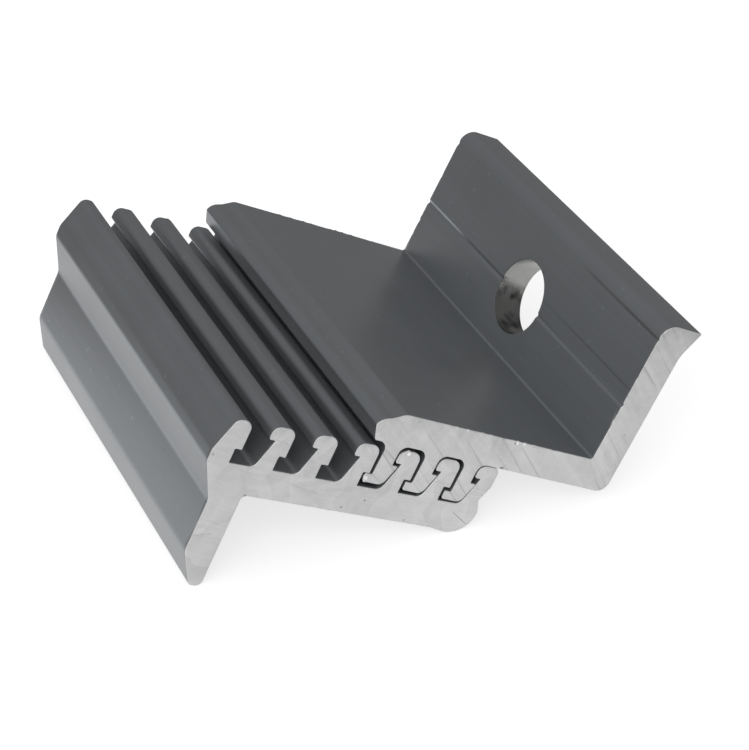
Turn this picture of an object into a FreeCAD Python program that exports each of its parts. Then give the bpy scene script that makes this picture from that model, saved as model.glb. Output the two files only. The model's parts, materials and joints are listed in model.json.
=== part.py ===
import FreeCAD, Part
import math
import os

# Adjustable end clamp made of two aluminium extrusions that hook into each other.
# Each jaw is one extruded section, cut to length. Both sections are drawn with the
# lower rack level: X runs along the rack from its first gap and Z is up out of it.
# The pair is then laid down on the ground as it comes to rest, with +Y along the
# extrusions. All sizes are in millimetres and all angles in degrees.

# Stock length and bolt hole
cut_length = 50.0
bolt_hole_diameter = 9.0

# Hook rack, which both jaws share
pitch = 5.25
hook_height = 5.03
head_width = 2.80
head_thickness = 1.63
barb_reach = 0.82
flank_angle = 18.3
shoulder_height = 1.70
shoulder_depth = 0.80
barb_side_round = 0.95
back_side_round = 1.05
barb_round = 0.28
root_round = 0.90
small_round = 0.12

# Play between the two racks
barb_play = 0.36
back_play = 0.27
flank_play = 0.15
ledge_play = 0.80
lift_play = 0.60
root_play = 0.06
touch_gap = 0.04

# Lower jaw: plate, knob and foot
lower_gaps = 6
lower_plate = 3.42
knob_reach = 2.52
knob_top = 1.20
knob_bottom = -0.20
knob_head_slope = 20.0
knob_under_slope = 25.9
knob_round = 1.50
foot_step = 0.43
foot_thickness = 3.60
foot_depth = 14.83
foot_blend = 1.60
foot_fillet = 0.65
tip_width = 1.47
tip_slope = 28.4
tip_round = 0.72

# Lower jaw: the last hook's end face and the pad under it
end_head_reach = 0.62
end_head_round = 0.75
end_head_blend = 1.00
waist_height = 0.85
waist_depth = 0.79
waist_slope = 24.0
waist_round = 0.70
pad_reach = 0.45
pad_run = 4.90
pad_slope = 7.6
pad_round = 2.90

# Upper jaw: plate and nose
free_gaps = 3
upper_plate = 3.62
plate_span = 13.66
nose_underside = 1.78
nose_reach = 2.50
nose_height = 1.75
nose_round = 0.40
nose_brow_reach = 2.10
nose_brow_drop = 1.10
nose_dip_reach = 0.88
nose_dip_drop = 0.75
nose_crest_inset = 0.50
nose_blend = 1.50

# Upper jaw: flange, drill groove, heel and lip
flange_thickness = 3.92
flange_reach = 17.5
flange_round = 1.78
bolt_height = 7.1
groove_width = 0.74
groove_depth = 0.19
groove_round = 0.12
corner_round = 0.30
lip_reach = 1.24
lip_slope = 21.0
lip_blend = 4.0
heel_round = 1.40

notch_height = hook_height - head_thickness
barb_side = pitch + shoulder_depth - head_width
flank_top = barb_side + barb_reach
flank_tangent = math.tan(math.radians(flank_angle))
flank_foot = flank_top - notch_height * flank_tangent
ledge_height = notch_height - ledge_play
last_gap = (lower_gaps - 1) * pitch
rack_end = lower_gaps * pitch
head_end = rack_end + end_head_reach
pad_end = rack_end + pad_reach
pad_drop = pad_run * math.tan(math.radians(pad_slope))
foot_inner = foot_thickness - foot_step
plate_top = hook_height + upper_plate
flange_inner = last_gap + barb_side - barb_play + plate_span
flange_outer = flange_inner + flange_thickness
flange_top = plate_top + flange_reach
bolt_level = plate_top + bolt_height
along = FreeCAD.Vector(0, 1, 0)


def point(x, z):
    return FreeCAD.Vector(x, 0, z)


def half_angle(points, index):
    """Half of the angle between the two edges that meet at a corner."""
    back = points[index - 1] - points[index]
    ahead = points[(index + 1) % len(points)] - points[index]
    return back.getAngle(ahead) / 2


def edge_share(points, runs, index):
    """How much of their runs the rounds at both ends of an edge have room for."""
    after = (index + 1) % len(points)
    length = points[index].distanceToPoint(points[after])
    return min(1, 0.98 * length / (runs[index] + runs[after]))


def corner_arc(points, index, run):
    """Start, middle and end of the arc that is tangent to both edges at a corner."""
    corner = points[index]
    back = (points[index - 1] - corner).normalize()
    ahead = (points[(index + 1) % len(points)] - corner).normalize()
    half = half_angle(points, index)
    sagitta = run / math.cos(half) - run * math.tan(half)
    return corner + back * run, corner + (back + ahead).normalize() * sagitta, corner + ahead * run


def extrusion(corners):
    """A solid of the cut length from the (x, z, round) corners of its section."""
    points = [point(x, z) for x, z, radius in corners]
    runs = []
    for index, (x, z, radius) in enumerate(corners):
        runs.append(radius / math.tan(half_angle(points, index)))
    shares = [edge_share(points, runs, index) for index in range(len(points))]
    arcs = []
    for index, run in enumerate(runs):
        arcs.append(corner_arc(points, index, run * min(shares[index - 1], shares[index])))
    edges = []
    for index, (start, middle, end) in enumerate(arcs):
        next_start = arcs[(index + 1) % len(arcs)][0]
        edges.append(Part.Arc(start, middle, end).toShape())
        edges.append(Part.LineSegment(end, next_start).toShape())
    return Part.Face(Part.Wire(edges)).extrude(along * cut_length)


def lower_gap(left):
    """Corners of one gap, from the back of one hook to the head of the next."""
    return [
        (left + shoulder_depth, hook_height, back_side_round),
        (left + shoulder_depth, shoulder_height, small_round),
        (left, shoulder_height, small_round),
        (left, 0, small_round),
        (left + flank_foot, 0, root_round),
        (left + flank_top, notch_height, small_round),
        (left + barb_side, notch_height, barb_round),
        (left + barb_side, hook_height, barb_side_round),
    ]


def rounded_end():
    """Corners of the last hook's end face, its waist and the pad, downwards."""
    steepness = math.tan(math.radians(waist_slope))
    waist_x = head_end - waist_depth
    return [
        (head_end, hook_height, end_head_round),
        (head_end, waist_height + waist_depth / steepness, end_head_blend),
        (waist_x, waist_height, waist_round),
        (pad_end, waist_height - (pad_end - waist_x) / steepness, waist_round),
        (pad_end, -lower_plate - pad_drop, pad_round),
        (pad_end - pad_run, -lower_plate, pad_round),
    ]


def foot_and_knob():
    """Corners of the foot from the plate's underside, and up round the knob."""
    tip_x = foot_inner - tip_width
    tip_rise = (tip_x + foot_step) / math.tan(math.radians(tip_slope))
    under_drop = (knob_reach - foot_step) / math.tan(math.radians(knob_under_slope))
    head_run = (hook_height - knob_top) * math.tan(math.radians(knob_head_slope))
    return [
        (foot_inner, -lower_plate, foot_fillet),
        (foot_inner, -foot_depth, tip_round),
        (tip_x, -foot_depth, tip_round),
        (-foot_step, tip_rise - foot_depth, foot_blend),
        (-foot_step, knob_bottom - under_drop, foot_blend),
        (-knob_reach, knob_bottom, knob_round),
        (-knob_reach, knob_top, knob_round),
        (head_run - knob_reach, hook_height, barb_side_round),
    ]


def lower_jaw():
    """The extrusion with the foot, whose rack of hooks stands up."""
    corners = []
    for index in range(lower_gaps):
        corners += lower_gap(index * pitch)
    return extrusion(corners + rounded_end() + foot_and_knob())


def upper_flank(left, z):
    """Where a hanging hook's slanted flank lies at height z."""
    return left + flank_foot - flank_play + z * flank_tangent


def upper_hook(left):
    """Corners of one hanging hook and of the recess to its right."""
    back = left + shoulder_depth + back_play
    toe = left + back_play
    neck = left + barb_side - barb_play
    toe_top = shoulder_height - lift_play
    return [
        (back, hook_height, back_side_round),
        (back, toe_top, small_round),
        (toe, toe_top, small_round),
        (toe, root_play, barb_round),
        (upper_flank(left, root_play), root_play, root_round),
        (upper_flank(left, ledge_height), ledge_height, small_round),
        (neck, ledge_height, small_round),
        (neck, hook_height, barb_side_round),
    ]


def flange():
    """Corners of the heel, the outer face with its lip, and the inner face."""
    lip_drop = lip_reach / math.tan(math.radians(lip_slope))
    return [
        (flange_outer, hook_height, heel_round),
        (flange_outer, flange_top - lip_drop, lip_blend),
        (flange_outer + lip_reach, flange_top, small_round),
        (flange_inner, flange_top, flange_round),
        (flange_inner, bolt_level + groove_width / 2, small_round),
        (flange_inner + groove_depth, bolt_level, groove_round),
        (flange_inner, bolt_level - groove_width / 2, small_round),
        (flange_inner, plate_top, corner_round),
    ]


def nose():
    """Corners of the blunt nose in front of the first hook, from its crest down."""
    back = free_gaps * pitch + shoulder_depth + back_play
    return [
        (back + nose_crest_inset, plate_top, nose_blend),
        (back - nose_dip_reach, plate_top - nose_dip_drop, nose_blend),
        (back - nose_brow_reach, plate_top - nose_brow_drop, nose_blend),
        (back - nose_reach, hook_height + nose_height, nose_round),
        (back - nose_underside, hook_height, nose_round),
    ]


def bolt_hole():
    """The bolt hole's cylinder, through the flange at the middle of its length."""
    start = FreeCAD.Vector(flange_inner, cut_length / 2, bolt_level)
    return Part.makeCylinder(bolt_hole_diameter / 2, flange_thickness, start, FreeCAD.Vector(1, 0, 0))


def upper_jaw():
    """The extrusion with the bolt flange, whose hooks hang into the lower rack."""
    corners = []
    for index in range(free_gaps, lower_gaps):
        corners += upper_hook(index * pitch)
    return extrusion(corners + flange() + nose()).cut(bolt_hole())


# The upper jaw leans on the last hook's head until its first toe meets a shoulder
pivot = point(head_end - end_head_round, hook_height)
first_toe = free_gaps * pitch + back_play + small_round
lean = math.degrees(math.asin((lift_play - 2 * touch_gap) / (pivot.x - first_toe)))


def leaned(place):
    """Where a point of the upper jaw lies once the jaw has leaned."""
    lifted = place + point(0, touch_gap)
    return pivot + FreeCAD.Rotation(along, lean).multVec(lifted - pivot)


def slide_to_flank():
    """How far the leaned jaw slides before its last flank meets the last hook."""
    corner = leaned(point(upper_flank(last_gap, ledge_height), ledge_height))
    flank = last_gap + flank_foot + corner.z * flank_tangent
    return flank - corner.x - touch_gap / math.cos(math.radians(flank_angle))


def seat(jaw):
    """Lean the upper jaw in the lower rack and slide it to where it stops."""
    jaw.translate(point(0, touch_gap))
    jaw.rotate(pivot, along, lean)
    jaw.translate(point(slide_to_flank(), 0))
    return jaw


def rest_angle():
    """Slope of the ground that touches both the foot's tip and the end pad."""
    slope = math.radians(pad_slope)
    pad_rise = pad_round * (math.tan(slope) + 1 / math.cos(slope))
    pad = point(pad_end - pad_round, pad_rise - lower_plate - pad_drop)
    tip = point(foot_inner - tip_round, tip_round - foot_depth)
    span = pad - tip
    return math.degrees(math.atan2(span.z, span.x) - math.asin((pad_round - tip_round) / span.Length))


def lay_down(jaws):
    """Turn the pair until it rests, and put the origin under its middle."""
    for jaw in jaws:
        jaw.rotate(point(0, 0), along, rest_angle())
    box = Part.makeCompound(jaws).optimalBoundingBox(False, False)
    for jaw in jaws:
        jaw.translate(FreeCAD.Vector(-box.Center.x, -box.Center.y, -box.ZMin))


lower = lower_jaw()
upper = seat(upper_jaw())
lay_down([lower, upper])
os.makedirs("parts", exist_ok=True)
lower.exportStep("parts/lower_jaw.step")
upper.exportStep("parts/upper_jaw.step")
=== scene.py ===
import json
import math

import bmesh
import bpy
from bpy.props import FloatProperty, FloatVectorProperty, PointerProperty
from mathutils import Matrix, Vector


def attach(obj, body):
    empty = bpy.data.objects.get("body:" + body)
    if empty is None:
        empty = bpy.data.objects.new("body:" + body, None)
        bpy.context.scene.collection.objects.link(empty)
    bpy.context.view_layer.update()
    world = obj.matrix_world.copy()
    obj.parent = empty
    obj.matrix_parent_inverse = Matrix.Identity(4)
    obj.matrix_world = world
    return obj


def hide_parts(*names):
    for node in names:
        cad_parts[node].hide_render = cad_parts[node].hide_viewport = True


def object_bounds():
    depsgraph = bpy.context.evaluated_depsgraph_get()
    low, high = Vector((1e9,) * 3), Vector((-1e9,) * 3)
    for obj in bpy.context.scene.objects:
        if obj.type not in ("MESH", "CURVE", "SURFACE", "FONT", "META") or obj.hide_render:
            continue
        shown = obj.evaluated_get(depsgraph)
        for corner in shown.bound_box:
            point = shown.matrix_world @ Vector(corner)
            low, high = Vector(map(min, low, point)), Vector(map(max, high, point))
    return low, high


bl_info = {
    "name": "Solar End Clamp",
    "version": (1, 0, 0),
    "blender": (4, 5, 0),
    "location": "3D View > Sidebar > End Clamp",
    "description": "Finishes the two extruded jaws of a solar end clamp and sets them in a pale studio",
    "category": "Object",
}

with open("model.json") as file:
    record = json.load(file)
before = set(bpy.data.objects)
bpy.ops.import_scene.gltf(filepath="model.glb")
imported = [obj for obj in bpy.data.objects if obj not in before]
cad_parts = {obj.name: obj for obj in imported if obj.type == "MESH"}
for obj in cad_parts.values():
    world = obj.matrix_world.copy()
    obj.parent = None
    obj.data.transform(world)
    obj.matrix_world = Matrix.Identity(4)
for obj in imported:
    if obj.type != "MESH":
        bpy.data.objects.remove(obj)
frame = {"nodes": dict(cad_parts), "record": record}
cad_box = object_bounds()

MM = 0.001
MERGE = 1e-6
HALF_LENGTH = cad_box[1].y

# How far the band at each end reaches in, and the longest step along its edges once cut
END_BAND = 0.0006
END_STEP = 0.0003

# The broken edge round an end has two rings: how far the inner one lies from the outer
# one, and how deep the outer one sinks, as shares of the edge's width
EDGE_RINGS = ((0.3, 0.7), (0.7, 0.3))

# Along the bar, how much of a face's normal marks an end, its broken edge, or a bore's wall
END_FACING = 0.99
EDGE_FACING = 0.2
WALL_FACING = 0.01

FLAT_ANGLE = math.radians(0.05)
SMOOTH_ANGLE = math.radians(50)
SAWN_SLOT = 1
DRILLED_SLOT = 2
QUAD_CORNERS = 4

# The noise that makes a speck or a pit: none below the first and whole above the second
SPECKS = (0.80, 0.84)
PITS = (0.79, 0.82)

# The Mix node's sockets for colours go by number, because others share their names
MIX_SHARE = 0
MIX_FIRST = 6
MIX_SECOND = 7
MIX_RESULT = 2

CLIP_START = 0.01
CLIP_END = 10


class Section:
    """How a jaw's own section lies in the frame, with its places in millimetres."""

    def __init__(self, x, z, tilt):
        self.origin = Vector((x, 0, z))
        self.tilt = math.radians(tilt)

    def step(self, x, z):
        """A step along the section and up out of it."""
        return Matrix.Rotation(self.tilt, 3, "Y") @ Vector((x, 0, z)) * MM

    def place(self, x, z):
        """A place in the section, at the middle of the jaw's length."""
        return self.origin + self.step(x, z)

    def marks(self, table):
        """The rows of a table, with each place in them turned from the section."""
        rows = []
        for row in table:
            rows.append([self.place(*value) if isinstance(value, tuple) else value for value in row])
        return rows


# The rack's jaw and the flange's jaw lie tilted on the ground, by angles in degrees
RACK = Section(-0.0251776, 0.0146966, 22.4485)
FLANGE = Section(-0.0246905, 0.0157007, 24.4052)

# Burrs and nicks that the saw left, in millimetres in a jaw's own section: the place, how
# far the edge is pulled there, and how wide the pull is
RACK_TEARS = (
    ((20.05, 5.03), (0.00, 0.17), 0.40), ((20.45, 5.03), (0.03, 0.06), 0.30),
    ((10.30, 5.03), (0.00, 0.05), 0.30), ((5.25, 1.70), (0.05, 0.04), 0.30),
    ((13.90, -3.42), (0.00, 0.06), 0.40), ((24.80, -3.42), (0.00, 0.05), 0.40),
)
FLANGE_TEARS = (
    ((16.05, 0.60), (-0.15, 0.02), 0.35), ((16.30, 0.15), (-0.05, -0.10), 0.30),
    ((23.90, 8.65), (0.03, 0.07), 0.30), ((25.40, 8.65), (0.00, 0.05), 0.30),
    ((27.30, 8.65), (0.04, 0.08), 0.30), ((28.60, 8.65), (0.00, 0.05), 0.30),
    ((30.20, 8.65), (0.02, -0.06), 0.35), ((31.50, 8.65), (0.04, 0.06), 0.30),
    ((32.30, 8.65), (0.00, 0.12), 0.30), ((33.20, 8.65), (0.03, 0.09), 0.30),
    ((34.60, 8.65), (0.00, 0.06), 0.35), ((37.30, 8.65), (0.00, -0.06), 0.40),
    ((42.80, 11.20), (0.06, 0.00), 0.40), ((42.80, 12.90), (0.14, 0.00), 0.40),
    ((42.80, 13.60), (-0.05, 0.00), 0.30), ((42.80, 19.40), (0.07, 0.00), 0.40),
    ((42.80, 24.20), (0.13, 0.00), 0.45), ((46.72, 14.00), (-0.06, 0.00), 0.50),
)

# Spots on the sawn ends, some of them painted light: the place, the radius, and how bright beside the
# metal
RACK_SPOTS_GLINT_AND_SHADE = (
    # The rack's first spot is a painted glint on the burr, and its last is painted shade in the
    # fillet's corner under the foot
    ((20.10, 4.78), 0.30, 1.60), ((17.50, -1.55), 0.16, 0.40), ((15.10, -2.80), 0.20, 0.50),
    ((23.30, -3.05), 0.15, 0.40), ((3.45, -3.40), 0.22, 0.50),
)
FLANGE_SPOTS_GLINTS_AND_SHADOW = (
    # The flange's spots brighter than the metal are painted glints on the burrs, and its last spot is a
    # painted shadow where the last hook meets the plate's underside
    ((16.25, 0.55), 0.32, 1.35), ((25.40, 8.55), 0.16, 1.40), ((30.30, 8.45), 0.18, 0.60),
    ((32.30, 8.45), 0.22, 1.50), ((32.00, 8.35), 0.16, 0.40), ((33.20, 8.50), 0.20, 1.50),
    ((34.60, 8.45), 0.15, 0.60), ((42.40, 9.50), 0.16, 0.60), ((45.20, 12.40), 0.17, 0.60),
    ((31.95, 5.12), 0.34, 0.35),
)

# Scratches on the sawn ends: where each starts and stops, half its width, and how bright
RACK_SCRATCHES = (
    ((28.80, -1.05), (31.20, -2.25), 0.06, 0.40), ((31.30, 1.60), (32.30, 0.95), 0.06, 0.55),
    ((26.90, 3.60), (27.90, 2.50), 0.06, 0.70), ((8.20, -1.20), (11.60, -1.70), 0.09, 0.85),
    ((-1.10, -9.20), (1.60, -8.40), 0.10, 0.85),
)
FLANGE_SCRATCHES = (
    ((30.60, 8.30), (34.60, 5.30), 0.07, 0.70),
)

# Lines on the flange's inner face: the place, half the width, how bright. The first is a dark die line,
# the second darkens the face where the top rounding starts, and the third is a painted highlight along
# the groove
FLANGE_LINES_AND_HIGHLIGHT = (
    ((42.80, 17.65), 0.16, 0.60), ((42.80, 24.15), 0.22, 0.40), ((42.85, 15.95), 0.24, 1.90),
)


class JawSettings(bpy.types.PropertyGroup):
    """Sizes of what sawing and drilling left on the jaws."""

    edge_break: FloatProperty(
        name="Edge break", description="Width of the broken edge round the sawn ends",
        default=0.00009, unit="LENGTH", subtype="DISTANCE")
    hole_break: FloatProperty(
        name="Hole edge", description="Width of the broken edge round the bolt hole",
        default=0.00012, unit="LENGTH", subtype="DISTANCE")


class FinishSettings(bpy.types.PropertyGroup):
    """Colours and textures of the metal."""

    skin_color: FloatVectorProperty(
        name="Skin", description="Colour of the dull extruded skin",
        default=(0.260, 0.273, 0.287), subtype="COLOR", size=3, min=0, max=1)
    skin_roughness: FloatProperty(
        name="Skin roughness", description="How dull the extruded skin is",
        default=0.34, subtype="FACTOR", min=0, max=1)
    skin_metallic: FloatProperty(
        name="Skin metal", description="How much the extruded skin looks like bare metal",
        default=0.75, subtype="FACTOR", min=0, max=1)
    skin_depth: FloatProperty(
        name="Skin depth", description="Depth of the die lines and the grain of the skin",
        default=0.00001, unit="LENGTH", subtype="DISTANCE")
    sawn_color: FloatVectorProperty(
        name="Sawn end", description="Colour of the bare metal on the sawn ends",
        default=(0.66, 0.66, 0.66), subtype="COLOR", size=3, min=0, max=1)
    sawn_roughness: FloatProperty(
        name="Sawn roughness", description="How dull the sawn ends are",
        default=0.50, subtype="FACTOR", min=0, max=1)
    sawn_metallic: FloatProperty(
        name="Sawn metal", description="How much the sawn ends look like bare metal",
        default=0.45, subtype="FACTOR", min=0, max=1)
    sawn_depth: FloatProperty(
        name="Sawn depth", description="Depth of the marks on the sawn ends",
        default=0.00002, unit="LENGTH", subtype="DISTANCE")
    bare_color: FloatVectorProperty(
        name="Drilled wall", description="Colour of the bare metal in the bolt hole",
        default=(0.315, 0.315, 0.31), subtype="COLOR", size=3, min=0, max=1)
    saw_spacing: FloatProperty(
        name="Saw marks", description="Distance from one broad saw mark to the next",
        default=0.0026, unit="LENGTH", subtype="DISTANCE")
    saw_radius: FloatProperty(
        name="Saw blade", description="Radius of the saw blade that left the marks",
        default=0.17, unit="LENGTH", subtype="DISTANCE")
    drill_feed: FloatProperty(
        name="Drill feed", description="Distance from one ring of the drill to the next",
        default=0.00035, unit="LENGTH", subtype="DISTANCE")
    drill_roughness: FloatProperty(
        name="Drilled roughness", description="How dull the smoothest of the drilled wall is",
        default=0.22, subtype="FACTOR", min=0, max=1)
    drill_depth: FloatProperty(
        name="Drilled depth", description="Depth of the rings in the bolt hole",
        default=0.000012, unit="LENGTH", subtype="DISTANCE")


class StageSettings(bpy.types.PropertyGroup):
    """Camera, floor and light."""

    camera_place: FloatVectorProperty(
        name="Camera", description="Where the camera stands",
        default=(-0.10234, -0.21412, 0.15134), size=3, unit="LENGTH", subtype="TRANSLATION")
    camera_target: FloatVectorProperty(
        name="Target", description="A point in the middle of the picture",
        default=(0.00077, -0.00406, 0.00784), size=3, unit="LENGTH", subtype="TRANSLATION")
    camera_roll: FloatProperty(
        name="Roll", description="How far the camera leans to one side",
        default=math.radians(4.134), unit="ROTATION", subtype="ANGLE")
    camera_lens: FloatProperty(
        name="Lens", description="Focal length of the camera's lens",
        default=116.08, unit="CAMERA")
    floor_color: FloatVectorProperty(
        name="Floor", description="Colour of the floor",
        default=(0.40, 0.40, 0.40), subtype="COLOR", size=3, min=0, max=1)
    floor_size: FloatProperty(
        name="Floor size", description="Length of the floor's sides",
        default=6, unit="LENGTH", subtype="DISTANCE")
    floor_glow: FloatProperty(
        name="Floor glow", description="White that the camera sees over the lit floor near the clamp",
        default=0.70, min=0, max=1)
    shadow_reach: FloatProperty(
        name="Shadow reach", description="How far from the clamp the glow begins to grow",
        default=0.12, unit="LENGTH", subtype="DISTANCE")
    glow_reach: FloatProperty(
        name="Glow reach", description="How far from the clamp the camera sees the floor all white",
        default=0.40, unit="LENGTH", subtype="DISTANCE")
    ambient: FloatProperty(
        name="Ambient light", description="Strength of the light from all round",
        default=0.50, min=0)
    room: FloatProperty(
        name="Room", description="Brightness of the room that the metal mirrors",
        default=0.21, min=0)
    white_reach: FloatProperty(
        name="White reach", description="How far from the clamp the metal sees the floor as white",
        default=0.092, unit="LENGTH", subtype="DISTANCE")
    white_core: FloatProperty(
        name="White core", description="Share of the white reach before the white begins to fade",
        default=0.58, subtype="FACTOR", min=0, max=1)
    lamp_size: FloatProperty(
        name="Lamp size", description="Length of each lamp's sides",
        default=0.5, unit="LENGTH", subtype="DISTANCE")
    key_power: FloatProperty(
        name="Key lamp", description="Power of the lamp beside the camera",
        default=2.3, unit="POWER", min=0)
    key_place: FloatVectorProperty(
        name="Key place", description="Where the lamp beside the camera hangs",
        default=(-0.25, -0.55, 0.45), size=3, unit="LENGTH", subtype="TRANSLATION")
    side_power: FloatProperty(
        name="Side lamp", description="Power of the lamp to the left of the clamp",
        default=1.5, unit="POWER", min=0)
    side_place: FloatVectorProperty(
        name="Side place", description="Where the lamp to the left of the clamp hangs",
        default=(-0.50, -0.25, 0.35), size=3, unit="LENGTH", subtype="TRANSLATION")
    back_power: FloatProperty(
        name="Back lamp", description="Power of the lamp behind the clamp",
        default=1.2, unit="POWER", min=0)
    back_place: FloatVectorProperty(
        name="Back place", description="Where the lamp behind the clamp hangs",
        default=(0.10, 0.55, 0.50), size=3, unit="LENGTH", subtype="TRANSLATION")


class Value:
    """A shader socket that can be added, multiplied and so on, as a number."""

    def __init__(self, nodes, socket):
        self.nodes = nodes
        self.socket = socket

    def __add__(self, other):
        return self.nodes.math("ADD", self, other)

    def __radd__(self, other):
        return self.nodes.math("ADD", other, self)

    def __sub__(self, other):
        return self.nodes.math("SUBTRACT", self, other)

    def __rsub__(self, other):
        return self.nodes.math("SUBTRACT", other, self)

    def __mul__(self, other):
        return self.nodes.math("MULTIPLY", self, other)

    def __rmul__(self, other):
        return self.nodes.math("MULTIPLY", other, self)

    def __truediv__(self, other):
        return self.nodes.math("DIVIDE", self, other)

    def __rtruediv__(self, other):
        return self.nodes.math("DIVIDE", other, self)

    def __pow__(self, other):
        return self.nodes.math("POWER", self, other)

    def __abs__(self):
        return self.nodes.math("ABSOLUTE", self)

    def wave(self):
        """A wave from 0 to 1 that repeats with each whole number."""
        return self.nodes.math("SINE", self * math.tau) * 0.5 + 0.5

    def ridge(self, width):
        """1 where the value passes a half, and 0 further than a width from there."""
        return 1 - abs(self - 0.5).rise(0, width)

    def rise(self, low, high):
        """0 below low, 1 above high, and a smooth rise between them."""
        settings = {"interpolation_type": "SMOOTHSTEP"}
        values = {"Value": self, "From Min": low, "From Max": high}
        return self.nodes.output("ShaderNodeMapRange", "Result", settings, values)

    def fade(self, half_width, core):
        """1 over a mark's core, and 0 past half of its width in millimetres."""
        return 1 - self.rise(core * half_width * MM, half_width * MM)


class Nodes:
    """Builds the nodes of one material, or of the world."""

    def __init__(self, owner):
        owner.use_nodes = True
        self.owner = owner
        self.tree = owner.node_tree
        self.tree.nodes.clear()

    def add(self, kind, settings=None, values=None):
        """Add a node, set it up, and give its sockets their values or links."""
        made = self.tree.nodes.new(kind)
        for name, value in (settings or {}).items():
            setattr(made, name, value)
        for name, value in (values or {}).items():
            value = getattr(value, "socket", value)
            if isinstance(value, bpy.types.NodeSocket):
                self.tree.links.new(value, made.inputs[name])
            else:
                made.inputs[name].default_value = value
        return made

    def output(self, kind, name, settings=None, values=None):
        """Add a node, and take one of its outputs as a number."""
        return Value(self, self.add(kind, settings, values).outputs[name])

    def math(self, operation, *values):
        """What a Math node makes of some numbers."""
        return self.output("ShaderNodeMath", "Value", {"operation": operation}, dict(enumerate(values)))

    def swing(self, middle, *shares):
        """A middle value that moves with each noise about its half, by a share of it."""
        for noise, share in shares:
            middle = middle + (noise - 0.5) * share
        return middle

    def place(self, scale=(1, 1, 1), turn=0.0):
        """Object coordinates, turned about the extrusion and then scaled."""
        found = self.add("ShaderNodeTexCoord").outputs["Object"]
        turned = self.add("ShaderNodeMapping", None, {"Vector": found, "Rotation": (0, turn, 0)})
        scaled = self.add("ShaderNodeMapping", None, {"Vector": turned.outputs[0], "Scale": scale})
        return scaled.outputs[0]

    def noise(self, place, scale=1.0, detail=2.0, roughness=0.5, distortion=0.0):
        """Smooth noise about a half."""
        values = {"Vector": place, "Scale": scale, "Detail": detail, "Roughness": roughness,
                  "Distortion": distortion}
        return self.output("ShaderNodeTexNoise", "Fac", None, values)

    def join(self, *numbers):
        """A place from its coordinates."""
        return self.add("ShaderNodeCombineXYZ", None, dict(enumerate(numbers))).outputs[0]

    def parts(self, place, names):
        """The named coordinates of a place, such as XZ, each as a number."""
        split = self.add("ShaderNodeSeparateXYZ", None, {0: place})
        return [Value(self, split.outputs[name]) for name in names]

    def length(self, across, up):
        """The length of a step across and up."""
        return (across * across + up * up) ** 0.5

    def away(self, x, z, start, end=None):
        """The distance, in the bar's section, from a place or from a line between two."""
        across, up = x - start.x, z - start.z
        if end:
            run = end - start
            share = (across * run.x + up * run.z) / run.length_squared
            share = self.math("MINIMUM", self.math("MAXIMUM", share, 0), 1)
            across, up = across - share * run.x, up - share * run.z
        return self.length(across, up)

    def mix(self, share, first, second):
        """The first colour where the share is 0 and the second where it is 1."""
        values = {MIX_SHARE: share, MIX_FIRST: first, MIX_SECOND: second}
        return self.add("ShaderNodeMix", {"data_type": "RGBA"}, values).outputs[MIX_RESULT]

    def mark(self, base, color, mask, strength, bright):
        """The base colour, with a brighter or darker shade over it where the mask is 1."""
        return self.mix(mask * strength, base, shade(color, bright))

    def bump(self, height, distance):
        """A normal from a height between 0 and 1 that stands for a distance."""
        values = {"Height": height, "Distance": distance, "Strength": 1.0}
        return self.add("ShaderNodeBump", None, values).outputs[0]

    def glow(self, strength):
        """A shader that glows white."""
        return self.add("ShaderNodeEmission", None, {"Strength": strength}).outputs[0]

    def blend(self, share, first, second):
        """The first shader where the share is 0 and the second where it is 1."""
        return self.add("ShaderNodeMixShader", None, {0: share, 1: first, 2: second}).outputs[0]

    def metal(self, values):
        """Finish the material with a metal shader."""
        shader = self.add("ShaderNodeBsdfPrincipled", None, values)
        self.add("ShaderNodeOutputMaterial", None, {"Surface": shader.outputs[0]})
        return self.owner


def shade(color, factor):
    """A colour made lighter or darker, as a shader socket takes it."""
    return (*(channel * factor for channel in color), 1)


def skin_metal(finish, lines_and_highlight):
    """Dull extruded skin with die lines along the bar, faint clouds, a few specks, and the given lines,
    one of them a painted highlight.
    """
    nodes = Nodes(bpy.data.materials.new("extruded_skin"))
    color = finish.skin_color
    place = nodes.place()
    x, z = nodes.parts(place, "XZ")
    lines = nodes.noise(nodes.place(scale=(2600, 9, 2600)), detail=3)
    streaks = nodes.noise(nodes.place(scale=(420, 3, 420)))
    clouds = nodes.noise(place, scale=90, detail=4)
    grain = nodes.noise(place, scale=9000, detail=1)
    tone = nodes.swing(0.5, (lines, 0.4), (streaks, 0.5), (clouds, 0.5))
    base = nodes.mix(tone, shade(color, 0.84), shade(color, 1.16))
    dust = nodes.noise(place, scale=1500, detail=0).rise(*SPECKS)
    base = nodes.mark(base, color, dust, strength=0.25, bright=1.9)
    dents = nodes.noise(place, scale=700, detail=1).rise(*SPECKS)
    base = nodes.mark(base, color, dents, strength=0.35, bright=0.35)
    faded = nodes.noise(place, scale=60, detail=2).rise(0.35, 0.60)
    # The given lines darken or lighten the skin; the groove's line is a painted highlight
    for line, half_width, bright in lines_and_highlight:
        mask = nodes.away(x, z, line).fade(half_width, core=0.4) * faded
        base = nodes.mark(base, color, mask, strength=0.6, bright=bright)
    height = lines * 0.45 + streaks * 0.4 + grain * 0.15
    return nodes.metal({
        "Base Color": base, "Metallic": finish.skin_metallic,
        "Roughness": nodes.swing(finish.skin_roughness, (clouds, 0.12), (streaks, 0.08)),
        "Normal": nodes.bump(height, finish.skin_depth)})


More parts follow.
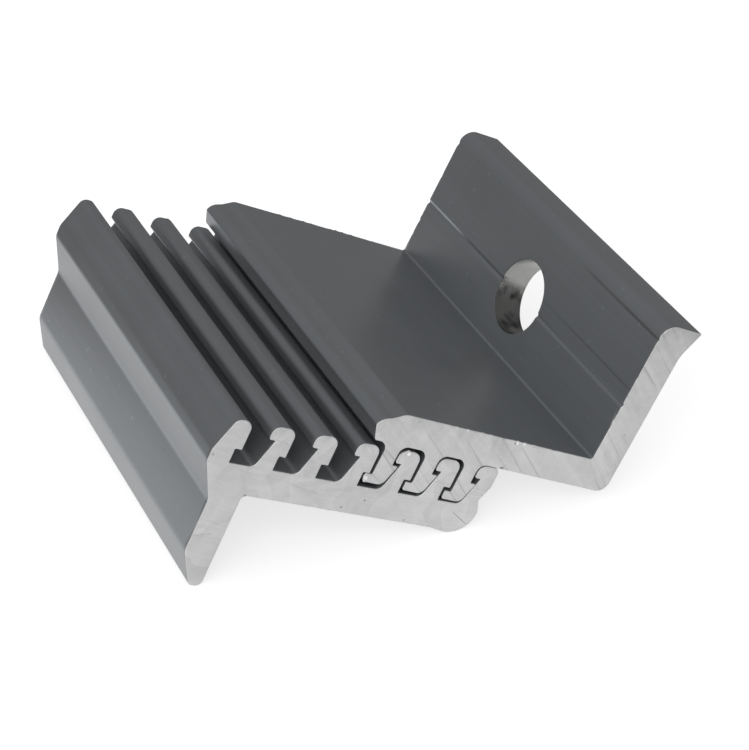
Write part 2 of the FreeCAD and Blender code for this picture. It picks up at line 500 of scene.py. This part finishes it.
def sawn_metal(finish, name, blade, scoring, marbling, spots_and_painted_light, scratches):
    """Bare pale metal with the arcs of the saw, marbled smears, pits, spots and scratches, where some
    spots are painted glints and painted shade.

    The middle of the saw's blade is given in blade radii from the frame's origin.
    """
    nodes = Nodes(bpy.data.materials.new(name))
    color = finish.sawn_color
    place = nodes.place()
    x, y, z = nodes.parts(place, "XYZ")
    across = x - blade[0] * finish.saw_radius
    up = z - blade[1] * finish.saw_radius
    reach = nodes.length(across, up)
    along = nodes.math("ARCTAN2", up, across) * finish.saw_radius

    def arcs(width, run, detail):
        """Noise drawn out along the arcs of the saw, about so wide and so long."""
        return nodes.noise(nodes.join(reach / width, along / run, y), detail=detail)

    streaks = arcs(width=0.0012, run=0.012, detail=3)
    fine = arcs(width=0.00022, run=0.005, detail=1)
    haze = nodes.noise(place, scale=150, detail=2)
    scores = arcs(width=finish.saw_spacing, run=0.090, detail=0).ridge(0.022)
    scores = scores * haze.rise(0.38, 0.60) * scoring
    blotch = nodes.noise(place, scale=420, detail=5, roughness=0.6, distortion=0.8)
    smear = nodes.math("FRACT", nodes.noise(place, scale=190, detail=1, distortion=0.6) * 4)
    pits = nodes.noise(nodes.place(scale=(900, 300, 900)), detail=1).rise(*PITS)
    ragged = nodes.noise(place, scale=2500, detail=2)
    tone = nodes.swing(0.5, (blotch, 1.1), (haze, 0.6), (streaks, 0.9 * scoring), (fine, 0.4),
                       (smear, marbling))
    base = nodes.mix(tone.rise(-0.2, 1.2), shade(color, 0.84), shade(color, 1.14))
    base = nodes.mark(base, color, pits, strength=0.6, bright=0.30)
    base = nodes.mark(base, color, scores, strength=0.46, bright=0.45)
    height = blotch * 0.4 + streaks * (0.2 * scoring) + fine * 0.25 + smear * (0.2 * marbling)
    height = height - scores * 0.42 - pits * 0.5
    for start, end, half_width, bright in scratches:
        mask = nodes.away(x, z, start, end).fade(half_width, core=0.3)
        base = nodes.mark(base, color, mask, strength=ragged.rise(0.2, 0.6), bright=bright)
        height = height - mask * 0.5
    # Spots lighten or darken the metal; some of them are painted glints on burrs and painted shade
    for spot, radius, bright in spots_and_painted_light:
        mask = 1 - (nodes.away(x, z, spot) / (radius * MM) + ragged * 0.8).rise(0.9, 1.3)
        base = nodes.mark(base, color, mask, strength=0.9, bright=bright)
        height = height + mask * (bright - 1)
    return nodes.metal({
        "Base Color": base, "Metallic": finish.sawn_metallic,
        "Roughness": nodes.swing(finish.sawn_roughness, (blotch, 0.2)),
        "Normal": nodes.bump(height, finish.sawn_depth)})


def drilled_metal(finish, mount):
    """Bare metal with the rings of the drill, and a painted dark reflection in patches low in the bore.
    """
    nodes = Nodes(bpy.data.materials.new("drilled_wall"))
    color = finish.bare_color
    place = nodes.place()
    depth, up = nodes.parts(nodes.place(turn=-FLANGE.tilt), "XZ")
    rings = (depth / finish.drill_feed).wave()
    rough = nodes.noise(place, scale=900, detail=4)
    middle = (Matrix.Rotation(-FLANGE.tilt, 3, "Y") @ Vector(mount["pos_m"])).z
    # A painted dark reflection in noisy patches over the lower part of the bore
    low = 1 - up.rise(middle - 0.9 * MM, middle + 0.2 * MM)
    painted_dark_reflection = nodes.noise(place, scale=380, detail=3).rise(0.42, 0.62) * low
    base = nodes.mix(rings * 0.2 + rough * 0.8, shade(color, 0.75), shade(color, 1.2))
    base = nodes.mark(base, color, painted_dark_reflection, strength=0.85, bright=0.15)
    height = rings * 0.3 + rough * 0.5 - painted_dark_reflection * 0.4
    return nodes.metal({
        "Base Color": base, "Metallic": 1.0, "Roughness": finish.drill_roughness + rough * 0.14,
        "Normal": nodes.bump(height, finish.drill_depth)})


def shared_skin(finish):
    """The skin that both jaws share, made with the first of them."""
    return bpy.data.materials.get("extruded_skin") or skin_metal(finish, FLANGE.marks(FLANGE_LINES_AND_HIGHLIGHT))


def only(piece):
    """Select one object and nothing else."""
    bpy.ops.object.select_all(action="DESELECT")
    piece.select_set(True)
    bpy.context.view_layer.objects.active = piece


def pick(piece, kind, test):
    """In edit mode, select the vertices, edges or faces that pass a test."""
    bpy.ops.mesh.select_mode(type=kind)
    bpy.ops.mesh.select_all(action="DESELECT")
    mesh = bmesh.from_edit_mesh(piece.data)
    parts = {"VERT": mesh.verts, "EDGE": mesh.edges, "FACE": mesh.faces}[kind]
    for part in parts:
        if test(part):
            part.select_set(True)
    mesh.select_flush_mode()
    bmesh.update_edit_mesh(piece.data)


def at_end(vertex):
    """Whether a vertex lies in the plane of a sawn end."""
    return abs(vertex.co.y) > HALF_LENGTH - 2 * MERGE


def jaw_copy(node, name):
    """A copy of a jaw's solid as one closed mesh, with its faces left as they are."""
    piece = bpy.data.objects.new(name, frame["nodes"][node].data.copy())
    piece.data.name = name
    bpy.context.scene.collection.objects.link(piece)
    only(piece)
    bpy.ops.mesh.customdata_custom_splitnormals_clear()
    bpy.ops.object.mode_set(mode="EDIT")
    bpy.ops.mesh.select_all(action="SELECT")
    bpy.ops.mesh.remove_doubles(threshold=MERGE)
    bpy.ops.mesh.dissolve_limited(angle_limit=FLAT_ANGLE)
    bpy.ops.object.mode_set(mode="OBJECT")
    return piece


def band_ends(piece):
    """Cut a narrow band round both ends, so that what the saw did stays inside it."""
    bpy.ops.object.mode_set(mode="EDIT")
    for side in (-1, 1):
        bpy.ops.mesh.select_all(action="SELECT")
        bpy.ops.mesh.bisect(plane_co=(0, side * (HALF_LENGTH - END_BAND), 0), plane_no=(0, 1, 0))
    bpy.ops.object.mode_set(mode="OBJECT")


def faces_end(face):
    """Whether a face is part of a sawn end."""
    return abs(face.normal.y) > END_FACING and all(at_end(vertex) for vertex in face.verts)


def finish_ends(piece, size):
    """Break the edges round both sawn ends and give the ends their own slot."""
    bpy.ops.object.mode_set(mode="EDIT")
    for inward, sink in EDGE_RINGS:
        pick(piece, "FACE", faces_end)
        bpy.ops.mesh.inset(thickness=inward * size, use_boundary=True, use_even_offset=True)
        mesh = bmesh.from_edit_mesh(piece.data)
        inner = {vertex.index for vertex in mesh.verts if vertex.select}
        pick(piece, "VERT", lambda vertex: at_end(vertex) and vertex.index not in inner)
        sunk = (HALF_LENGTH - sink * size) / HALF_LENGTH
        bpy.ops.transform.resize(value=(1, sunk, 1), center_override=(0, 0, 0))
    pick(piece, "FACE", lambda face: abs(face.normal.y) > EDGE_FACING)
    piece.active_material_index = SAWN_SLOT
    bpy.ops.object.material_slot_assign()
    bpy.ops.object.mode_set(mode="OBJECT")


def in_band(edge):
    """Whether an edge runs across the bar, inside the band at one of its ends."""
    first, second = (vertex.co.y for vertex in edge.verts)
    return abs(first - second) < MERGE and abs(first) > HALF_LENGTH - END_BAND / 2


def tear_ends(piece, section, tears):
    """Pull burrs and nicks out of the edges round both sawn ends."""
    bpy.ops.object.mode_set(mode="EDIT")
    while True:
        pick(piece, "EDGE", lambda edge: in_band(edge) and edge.calc_length() > END_STEP)
        if not any(edge.select for edge in bmesh.from_edit_mesh(piece.data).edges):
            break
        bpy.ops.mesh.subdivide(number_cuts=1)
    for side in (-1, 1):
        for edge_place, pull, width in tears:
            place = section.place(*edge_place)
            place.y = side * HALF_LENGTH
            mesh = bmesh.from_edit_mesh(piece.data)
            nearest = min(mesh.verts, key=lambda vertex: (vertex.co - place).length).index
            pick(piece, "VERT", lambda vertex: vertex.index == nearest)
            bpy.ops.transform.translate(
                value=section.step(*pull), use_proportional_edit=True,
                proportional_edit_falloff="SMOOTH", proportional_size=width * MM)
    # Left whole, faces with many corners would be cut into slivers when the mesh is triangulated
    pick(piece, "FACE", lambda face: len(face.verts) > QUAD_CORNERS)
    bpy.ops.mesh.quads_convert_to_tris(quad_method="BEAUTY", ngon_method="BEAUTY")
    bpy.ops.object.mode_set(mode="OBJECT")


def saw_ends(piece, section, tears, edge_break):
    """Give both ends of a jaw the edges, burrs and nicks that the saw left."""
    band_ends(piece)
    finish_ends(piece, edge_break)
    tear_ends(piece, section, tears)


def smooth(piece):
    """Shade the rounds smooth and keep the broad faces flat."""
    only(piece)
    bpy.ops.object.shade_smooth_by_angle(angle=SMOOTH_ANGLE)
    flat = piece.modifiers.new("flat_faces", "WEIGHTED_NORMAL")
    flat.keep_sharp = True
    bpy.ops.object.modifier_apply(modifier=flat.name)


def dress(piece, materials):
    """Give a piece its materials, one for each slot."""
    piece.data.materials.clear()
    for material in materials:
        piece.data.materials.append(material)


def drilled_faces(mount):
    """A test for the faces of a bore's wall."""
    centre, axis = Vector(mount["pos_m"]), Vector(mount["axis"])
    radius = mount["dims"]["r_mm"] * MM

    def on_wall(face):
        away = face.calc_center_median() - centre
        off_axis = away - axis * away.dot(axis)
        return off_axis.length < radius + MERGE and abs(face.normal.dot(axis)) < WALL_FACING

    return on_wall


def finish_hole(piece, mount, size):
    """Give the bolt hole's wall its own slot and break both of its rims."""
    bpy.ops.object.mode_set(mode="EDIT")
    on_wall = drilled_faces(mount)
    pick(piece, "FACE", on_wall)
    piece.active_material_index = DRILLED_SLOT
    bpy.ops.object.material_slot_assign()
    pick(piece, "EDGE", lambda edge: len({on_wall(face) for face in edge.link_faces}) == 2)
    bpy.ops.mesh.bevel(offset=size, segments=2, profile=0.6, affect="EDGES", clamp_overlap=True)
    bpy.ops.object.mode_set(mode="OBJECT")


class ENDCLAMP_OT_lower_jaw(bpy.types.Operator):
    """Finish the jaw with the foot"""

    bl_idname = "endclamp.lower_jaw"
    bl_label = "Lower jaw"

    def execute(self, context):
        finish, sizes = context.scene.endclamp_finish, context.scene.endclamp_jaws
        jaw = jaw_copy("lower_jaw", "lower_jaw_metal")
        sawn = sawn_metal(
            finish, "sawn_rack", blade=(0.35, 0.94), scoring=0.25, marbling=0.28,
            spots_and_painted_light=RACK.marks(RACK_SPOTS_GLINT_AND_SHADE), scratches=RACK.marks(RACK_SCRATCHES))
        dress(jaw, [shared_skin(finish), sawn])
        saw_ends(jaw, RACK, RACK_TEARS, sizes.edge_break)
        smooth(jaw)
        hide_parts("lower_jaw")
        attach(jaw, "lower_jaw")
        return {"FINISHED"}


class ENDCLAMP_OT_upper_jaw(bpy.types.Operator):
    """Finish the jaw with the bolt flange"""

    bl_idname = "endclamp.upper_jaw"
    bl_label = "Upper jaw"

    def execute(self, context):
        finish, sizes = context.scene.endclamp_finish, context.scene.endclamp_jaws
        hole = next(mount for mount in frame["record"]["mounts"] if mount["name"] == "bolt_hole")
        jaw = jaw_copy("upper_jaw", "upper_jaw_metal")
        sawn = sawn_metal(
            finish, "sawn_flange", blade=(-0.87, -0.49), scoring=1.0, marbling=0.12,
            spots_and_painted_light=FLANGE.marks(FLANGE_SPOTS_GLINTS_AND_SHADOW), scratches=FLANGE.marks(FLANGE_SCRATCHES))
        dress(jaw, [shared_skin(finish), sawn, drilled_metal(finish, hole)])
        saw_ends(jaw, FLANGE, FLANGE_TEARS, sizes.edge_break)
        finish_hole(jaw, hole, sizes.hole_break)
        smooth(jaw)
        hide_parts("upper_jaw")
        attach(jaw, "upper_jaw")
        return {"FINISHED"}


def floor_material(stage):
    """A pale floor that keeps its shadow near the clamp and is white further out.

    The metal mirrors it as a white sheet near the clamp that fades into the dim room.
    """
    nodes = Nodes(bpy.data.materials.new("pale_floor"))
    camera = nodes.output("ShaderNodeLightPath", "Is Camera Ray")
    metal = nodes.output("ShaderNodeLightPath", "Is Glossy Ray")
    away = nodes.length(*nodes.parts(nodes.place(), "XY"))
    far = away.rise(stage.white_reach * stage.white_core, stage.white_reach)
    lit = nodes.add("ShaderNodeBsdfDiffuse", None, {"Color": (*stage.floor_color, 1)}).outputs[0]
    near_glow = nodes.glow(stage.floor_glow)
    full_glow = nodes.glow(1 - stage.floor_color[0] * stage.ambient)
    glow = nodes.blend(away.rise(stage.shadow_reach, stage.glow_reach), near_glow, full_glow)
    pale = nodes.add("ShaderNodeAddShader", None, {0: lit, 1: glow}).outputs[0]
    seen = nodes.blend(camera, lit, pale)
    mirrored = nodes.blend(far, nodes.glow(1.0), nodes.glow(stage.room))
    floor = nodes.blend(metal, seen, mirrored)
    nodes.add("ShaderNodeOutputMaterial", None, {"Surface": floor})
    return nodes.owner


def facing(place, target):
    """How a lamp or a camera turns to look from one place at another."""
    return (Vector(target) - Vector(place)).to_track_quat("-Z", "Y")


def lamp(name, power, place, stage, mirrored):
    """A square soft lamp that faces the clamp, and that the metal may mirror or not."""
    bpy.ops.object.light_add(type="AREA", location=place)
    made = bpy.context.active_object
    made.name = name
    made.data.energy = power
    made.data.size = stage.lamp_size
    made.visible_glossy = mirrored
    made.rotation_euler = facing(place, stage.camera_target).to_euler()


def light_world(stage):
    """Even light from all round, which the camera sees as white and the metal as a dim room."""
    nodes = Nodes(bpy.data.worlds.new("pale_room"))
    camera = nodes.output("ShaderNodeLightPath", "Is Camera Ray")
    metal = nodes.output("ShaderNodeLightPath", "Is Glossy Ray")
    strength = stage.ambient + camera * (1 - stage.ambient) + metal * (stage.room - stage.ambient)
    shader = nodes.add("ShaderNodeBackground", None, {"Color": (1, 1, 1, 1), "Strength": strength})
    nodes.add("ShaderNodeOutputWorld", None, {"Surface": shader.outputs[0]})
    bpy.context.scene.world = nodes.owner


def set_camera(stage):
    """The camera, which stands, looks and leans as the one that took the picture did."""
    bpy.ops.object.camera_add()
    camera = bpy.context.active_object
    camera.data.lens = stage.camera_lens
    camera.data.clip_start = CLIP_START
    camera.data.clip_end = CLIP_END
    turn = facing(stage.camera_place, stage.camera_target).to_matrix().to_4x4()
    roll = Matrix.Rotation(stage.camera_roll, 4, "Z")
    camera.matrix_world = Matrix.Translation(stage.camera_place) @ turn @ roll
    bpy.context.scene.camera = camera


class ENDCLAMP_OT_stage(bpy.types.Operator):
    """Set the camera, the floor and the light"""

    bl_idname = "endclamp.stage"
    bl_label = "Stage"

    def execute(self, context):
        stage = context.scene.endclamp_stage
        bpy.ops.object.select_all(action="DESELECT")
        bpy.ops.mesh.primitive_plane_add(size=stage.floor_size, location=(0, 0, 0))
        floor = context.active_object
        floor.name = "floor"
        floor.data.materials.append(floor_material(stage))
        lamp("key_lamp", stage.key_power, stage.key_place, stage, mirrored=True)
        lamp("side_lamp", stage.side_power, stage.side_place, stage, mirrored=False)
        lamp("back_lamp", stage.back_power, stage.back_place, stage, mirrored=False)
        light_world(stage)
        set_camera(stage)
        context.scene.view_settings.view_transform = "Standard"
        return {"FINISHED"}


class ENDCLAMP_PT_sidebar(bpy.types.Panel):
    """The clamp's sizes, finishes and stage"""

    bl_label = "End Clamp"
    bl_idname = "ENDCLAMP_PT_sidebar"
    bl_space_type = "VIEW_3D"
    bl_region_type = "UI"
    bl_category = "End Clamp"

    def draw(self, context):
        scene = context.scene
        for settings, operators in (
                (scene.endclamp_jaws, ("endclamp.lower_jaw", "endclamp.upper_jaw")),
                (scene.endclamp_finish, ()),
                (scene.endclamp_stage, ("endclamp.stage",))):
            box = self.layout.box()
            for name in settings.__annotations__:
                box.prop(settings, name)
            for operator in operators:
                box.operator(operator)


CLASSES = (JawSettings, FinishSettings, StageSettings, ENDCLAMP_OT_lower_jaw, ENDCLAMP_OT_upper_jaw,
           ENDCLAMP_OT_stage, ENDCLAMP_PT_sidebar)


def register():
    for made in CLASSES:
        bpy.utils.register_class(made)
    bpy.types.Scene.endclamp_jaws = PointerProperty(type=JawSettings)
    bpy.types.Scene.endclamp_finish = PointerProperty(type=FinishSettings)
    bpy.types.Scene.endclamp_stage = PointerProperty(type=StageSettings)


def unregister():
    del bpy.types.Scene.endclamp_stage
    del bpy.types.Scene.endclamp_finish
    del bpy.types.Scene.endclamp_jaws
    for made in reversed(CLASSES):
        bpy.utils.unregister_class(made)


def main():
    register()
    bpy.ops.endclamp.lower_jaw()
    bpy.ops.endclamp.upper_jaw()
    bpy.ops.endclamp.stage()


if __name__ == "__main__":
    main()
